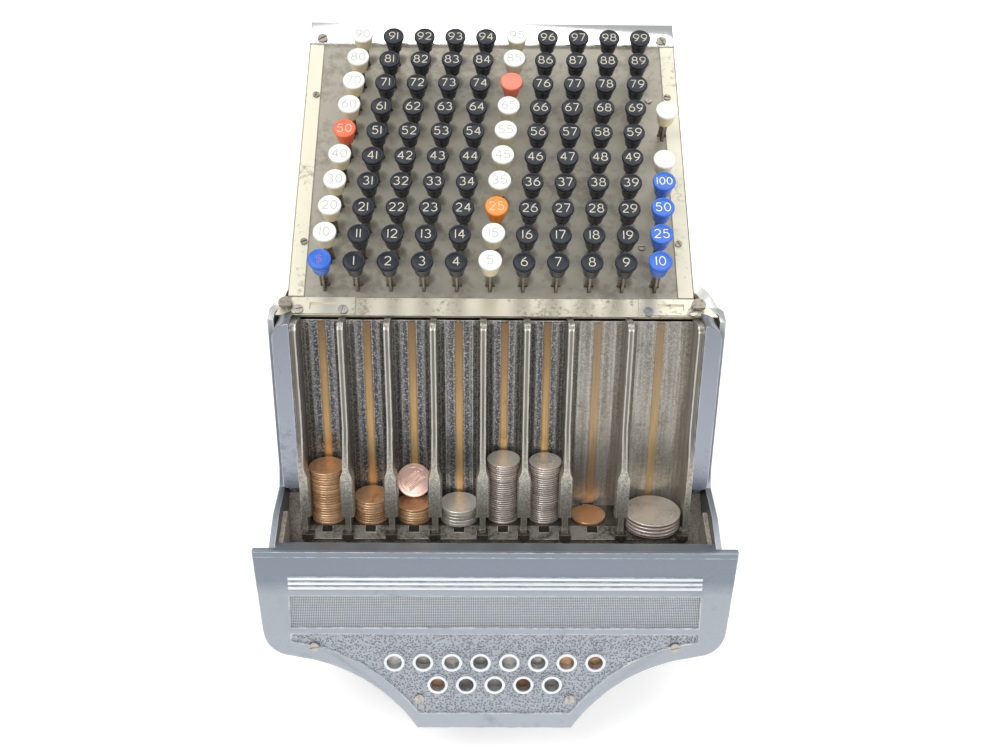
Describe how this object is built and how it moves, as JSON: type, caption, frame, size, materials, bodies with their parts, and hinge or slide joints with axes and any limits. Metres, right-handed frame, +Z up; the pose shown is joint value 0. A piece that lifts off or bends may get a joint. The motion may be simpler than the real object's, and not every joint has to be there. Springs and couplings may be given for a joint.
{
  "type": "coin changer dispenser",
  "caption": "Counter-top coin changer: sloping keyboard of amounts above a lift-off channelled coin tray, with ejectors and a payout hopper behind a cast front plate.",
  "frame": {"origin": "centre of the bounding box, on the counter under the rubber feet", "axes": "+X to the right as the user sees it, +Y from the payout plate to the rear cover, +Z up"},
  "size_m": [0.25, 0.314, 0.2993],
  "materials": {
    "blue_keys": "moulded plastic",
    "brass": "dull brass",
    "bright_nickel": "polished, worn",
    "bright_steel": "turned steel",
    "cast_aluminium": "satin, polished high spots",
    "copper_coins": "worn copper",
    "cream_paint": "worn cream paint",
    "dark_keys": "moulded plastic",
    "dark_steel": "oiled steel",
    "ivory_keys": "moulded plastic",
    "nickel_sheet": "dull nickel with grime",
    "painted_steel": "satin paint",
    "rubber": "matte",
    "silver_coins": "worn cupronickel",
    "tarnished_nickel": "tarnished nickel plate"
  },
  "bodies": {
    "frame": {"base_plate": "painted_steel", "rubber_feet": "rubber", "left_side_casting": "cast_aluminium", "right_side_casting": "cast_aluminium", "rear_cover": "painted_steel", "keyboard_deck": "nickel_sheet", "deck_back_bar": "bright_nickel", "deck_side_rails": "cream_paint", "stem_guide_plate": "dark_steel", "front_cross_plate": "nickel_sheet", "latch_brackets": "nickel_sheet", "tray_stop_studs": "dark_steel", "slotted_screws": "bright_steel", "hopper_front_plate": "cast_aluminium", "hopper_funnel": "cream_paint", "lever_shaft": "bright_steel", "shaft_bushes": "brass"},
    "tray": {"coin_tray": "tarnished_nickel", "tray_wear_strips": "brass", "tray_foot_plate": "tarnished_nickel", "left_handle": "cast_aluminium", "right_handle": "cast_aluminium", "handle_studs": "bright_steel", "coin_pointers": "brass", "pennies": "copper_coins", "nickels": "silver_coins", "dimes": "silver_coins", "half_dollars": "silver_coins"},
    "keys_0": {"key_row_0": "dark_keys"},
    "keys_1": {"key_row_1": "dark_keys"},
    "keys_2": {"key_row_2": "dark_keys"},
    "keys_3": {"key_row_3": "dark_keys"},
    "keys_4": {"key_row_4": "dark_keys"},
    "keys_5": {"key_row_5": "dark_keys"},
    "keys_6": {"key_row_6": "dark_keys"},
    "keys_7": {"key_row_7": "dark_keys"},
    "keys_8": {"key_row_8": "dark_keys"},
    "keys_9": {"key_row_9": "dark_keys"},
    "right_1": {"right_key_1": "blue_keys"},
    "right_2": {"right_key_2": "blue_keys"},
    "right_3": {"right_key_3": "blue_keys"},
    "right_4": {"right_key_4": "blue_keys"},
    "right_5": {"right_key_5": "ivory_keys"},
    "right_6": {"right_key_6": "ivory_keys"},
    "lever_1": {"kick_lever_1": "dark_steel"},
    "eject_1": {"ejector_1": "bright_steel"},
    "lever_2": {"kick_lever_2": "dark_steel"},
    "eject_2": {"ejector_2": "bright_steel"},
    "lever_3": {"kick_lever_3": "dark_steel"},
    "eject_3": {"ejector_3": "bright_steel"},
    "lever_4": {"kick_lever_4": "dark_steel"},
    "eject_4": {"ejector_4": "bright_steel"},
    "lever_5": {"kick_lever_5": "dark_steel"},
    "eject_5": {"ejector_5": "bright_steel"},
    "lever_6": {"kick_lever_6": "dark_steel"},
    "eject_6": {"ejector_6": "bright_steel"},
    "lever_7": {"kick_lever_7": "dark_steel"},
    "eject_7": {"ejector_7": "bright_steel"},
    "lever_8": {"kick_lever_8": "dark_steel"},
    "eject_8": {"ejector_8": "bright_steel"}
  },
  "joints": [
    {"name": "keys_0_press", "type": "slide", "parent": "frame", "child": "keys_0", "axis": [0, 0.342, -0.9397], "range_m": [0, 0.008], "stiffness_N_per_m": 300, "springref_m": -0.006},
    {"name": "keys_1_press", "type": "slide", "parent": "frame", "child": "keys_1", "axis": [0, 0.342, -0.9397], "range_m": [0, 0.008], "stiffness_N_per_m": 300, "springref_m": -0.006},
    {"name": "keys_2_press", "type": "slide", "parent": "frame", "child": "keys_2", "axis": [0, 0.342, -0.9397], "range_m": [0, 0.008], "stiffness_N_per_m": 300, "springref_m": -0.006},
    {"name": "keys_3_press", "type": "slide", "parent": "frame", "child": "keys_3", "axis": [0, 0.342, -0.9397], "range_m": [0, 0.008], "stiffness_N_per_m": 300, "springref_m": -0.006},
    {"name": "keys_4_press", "type": "slide", "parent": "frame", "child": "keys_4", "axis": [0, 0.342, -0.9397], "range_m": [0, 0.008], "stiffness_N_per_m": 300, "springref_m": -0.006},
    {"name": "keys_5_press", "type": "slide", "parent": "frame", "child": "keys_5", "axis": [0, 0.342, -0.9397], "range_m": [0, 0.008], "stiffness_N_per_m": 300, "springref_m": -0.006},
    {"name": "keys_6_press", "type": "slide", "parent": "frame", "child": "keys_6", "axis": [0, 0.342, -0.9397], "range_m": [0, 0.008], "stiffness_N_per_m": 300, "springref_m": -0.006},
    {"name": "keys_7_press", "type": "slide", "parent": "frame", "child": "keys_7", "axis": [0, 0.342, -0.9397], "range_m": [0, 0.008], "stiffness_N_per_m": 300, "springref_m": -0.006},
    {"name": "keys_8_press", "type": "slide", "parent": "frame", "child": "keys_8", "axis": [0, 0.342, -0.9397], "range_m": [0, 0.008], "stiffness_N_per_m": 300, "springref_m": -0.006},
    {"name": "keys_9_press", "type": "slide", "parent": "frame", "child": "keys_9", "axis": [0, 0.342, -0.9397], "range_m": [0, 0.008], "stiffness_N_per_m": 300, "springref_m": -0.006},
    {"name": "right_1_press", "type": "slide", "parent": "frame", "child": "right_1", "axis": [0, 0.342, -0.9397], "range_m": [0, 0.008], "stiffness_N_per_m": 100, "springref_m": -0.005},
    {"name": "right_2_press", "type": "slide", "parent": "frame", "child": "right_2", "axis": [0, 0.342, -0.9397], "range_m": [0, 0.008], "stiffness_N_per_m": 100, "springref_m": -0.005},
    {"name": "right_3_press", "type": "slide", "parent": "frame", "child": "right_3", "axis": [0, 0.342, -0.9397], "range_m": [0, 0.008], "stiffness_N_per_m": 100, "springref_m": -0.005},
    {"name": "right_4_press", "type": "slide", "parent": "frame", "child": "right_4", "axis": [0, 0.342, -0.9397], "range_m": [0, 0.008], "stiffness_N_per_m": 100, "springref_m": -0.005},
    {"name": "right_5_press", "type": "slide", "parent": "frame", "child": "right_5", "axis": [0, 0.342, -0.9397], "range_m": [0, 0.008], "stiffness_N_per_m": 100, "springref_m": -0.005},
    {"name": "right_6_press", "type": "slide", "parent": "frame", "child": "right_6", "axis": [0, 0.342, -0.9397], "range_m": [0, 0.008], "stiffness_N_per_m": 100, "springref_m": -0.005},
    {"name": "tray_lift", "type": "slide", "parent": "frame", "child": "tray", "axis": [0, -0.5, 0.866], "range_m": [0, 0.06]},
    {"name": "lever_1_kick", "type": "hinge", "parent": "frame", "child": "lever_1", "pos_m": [-0.09085, -0.02551, 0.14419], "axis": [-1, 0, 0], "range_deg": [0, 24.19], "stiffness_Nm_per_rad": 0.05, "springref_deg": -17.19},
    {"name": "eject_1_slide", "type": "slide", "parent": "tray", "child": "eject_1", "axis": [0, -0.9563, 0.2924], "range_m": [0, 0.0181]},
    {"name": "lever_2_kick", "type": "hinge", "parent": "frame", "child": "lever_2", "pos_m": [-0.0675, -0.02551, 0.14419], "axis": [-1, 0, 0], "range_deg": [0, 24.19], "stiffness_Nm_per_rad": 0.05, "springref_deg": -17.19},
    {"name": "eject_2_slide", "type": "slide", "parent": "tray", "child": "eject_2", "axis": [0, -0.9563, 0.2924], "range_m": [0, 0.0181]},
    {"name": "lever_3_kick", "type": "hinge", "parent": "frame", "child": "lever_3", "pos_m": [-0.04415, -0.02551, 0.14419], "axis": [-1, 0, 0], "range_deg": [0, 24.19], "stiffness_Nm_per_rad": 0.05, "springref_deg": -17.19},
    {"name": "eject_3_slide", "type": "slide", "parent": "tray", "child": "eject_3", "axis": [0, -0.9563, 0.2924], "range_m": [0, 0.0181]},
    {"name": "lever_4_kick", "type": "hinge", "parent": "frame", "child": "lever_4", "pos_m": [-0.01972, -0.02551, 0.14419], "axis": [-1, 0, 0], "range_deg": [0, 24.19], "stiffness_Nm_per_rad": 0.05, "springref_deg": -17.19},
    {"name": "eject_4_slide", "type": "slide", "parent": "tray", "child": "eject_4", "axis": [0, -0.9563, 0.2924], "range_m": [0, 0.0181]},
    {"name": "lever_5_kick", "type": "hinge", "parent": "frame", "child": "lever_5", "pos_m": [0.00414, -0.02551, 0.14419], "axis": [-1, 0, 0], "range_deg": [0, 24.19], "stiffness_Nm_per_rad": 0.05, "springref_deg": -17.19},
    {"name": "eject_5_slide", "type": "slide", "parent": "tray", "child": "eject_5", "axis": [0, -0.9563, 0.2924], "range_m": [0, 0.0181]},
    {"name": "lever_6_kick", "type": "hinge", "parent": "frame", "child": "lever_6", "pos_m": [0.02635, -0.02551, 0.14419], "axis": [-1, 0, 0], "range_deg": [0, 24.19], "stiffness_Nm_per_rad": 0.05, "springref_deg": -17.19},
    {"name": "eject_6_slide", "type": "slide", "parent": "tray", "child": "eject_6", "axis": [0, -0.9563, 0.2924], "range_m": [0, 0.0181]},
    {"name": "lever_7_kick", "type": "hinge", "parent": "frame", "child": "lever_7", "pos_m": [0.05103, -0.02551, 0.14419], "axis": [-1, 0, 0], "range_deg": [0, 24.19], "stiffness_Nm_per_rad": 0.05, "springref_deg": -17.19},
    {"name": "eject_7_slide", "type": "slide", "parent": "tray", "child": "eject_7", "axis": [0, -0.9563, 0.2924], "range_m": [0, 0.0181]},
    {"name": "lever_8_kick", "type": "hinge", "parent": "frame", "child": "lever_8", "pos_m": [0.08507, -0.02551, 0.14419], "axis": [-1, 0, 0], "range_deg": [0, 24.19], "stiffness_Nm_per_rad": 0.05, "springref_deg": -17.19},
    {"name": "eject_8_slide", "type": "slide", "parent": "tray", "child": "eject_8", "axis": [0, -0.9563, 0.2924], "range_m": [0, 0.0181]}
  ],
  "couplings": [
    {"joint": "eject_1_slide", "follows": "lever_1_kick", "m_per_rad": 0.042635},
    {"joint": "eject_2_slide", "follows": "lever_2_kick", "m_per_rad": 0.042635},
    {"joint": "eject_3_slide", "follows": "lever_3_kick", "m_per_rad": 0.042635},
    {"joint": "eject_4_slide", "follows": "lever_4_kick", "m_per_rad": 0.042635},
    {"joint": "eject_5_slide", "follows": "lever_5_kick", "m_per_rad": 0.042635},
    {"joint": "eject_6_slide", "follows": "lever_6_kick", "m_per_rad": 0.042635},
    {"joint": "eject_7_slide", "follows": "lever_7_kick", "m_per_rad": 0.042635},
    {"joint": "eject_8_slide", "follows": "lever_8_kick", "m_per_rad": 0.042635}
  ]
}
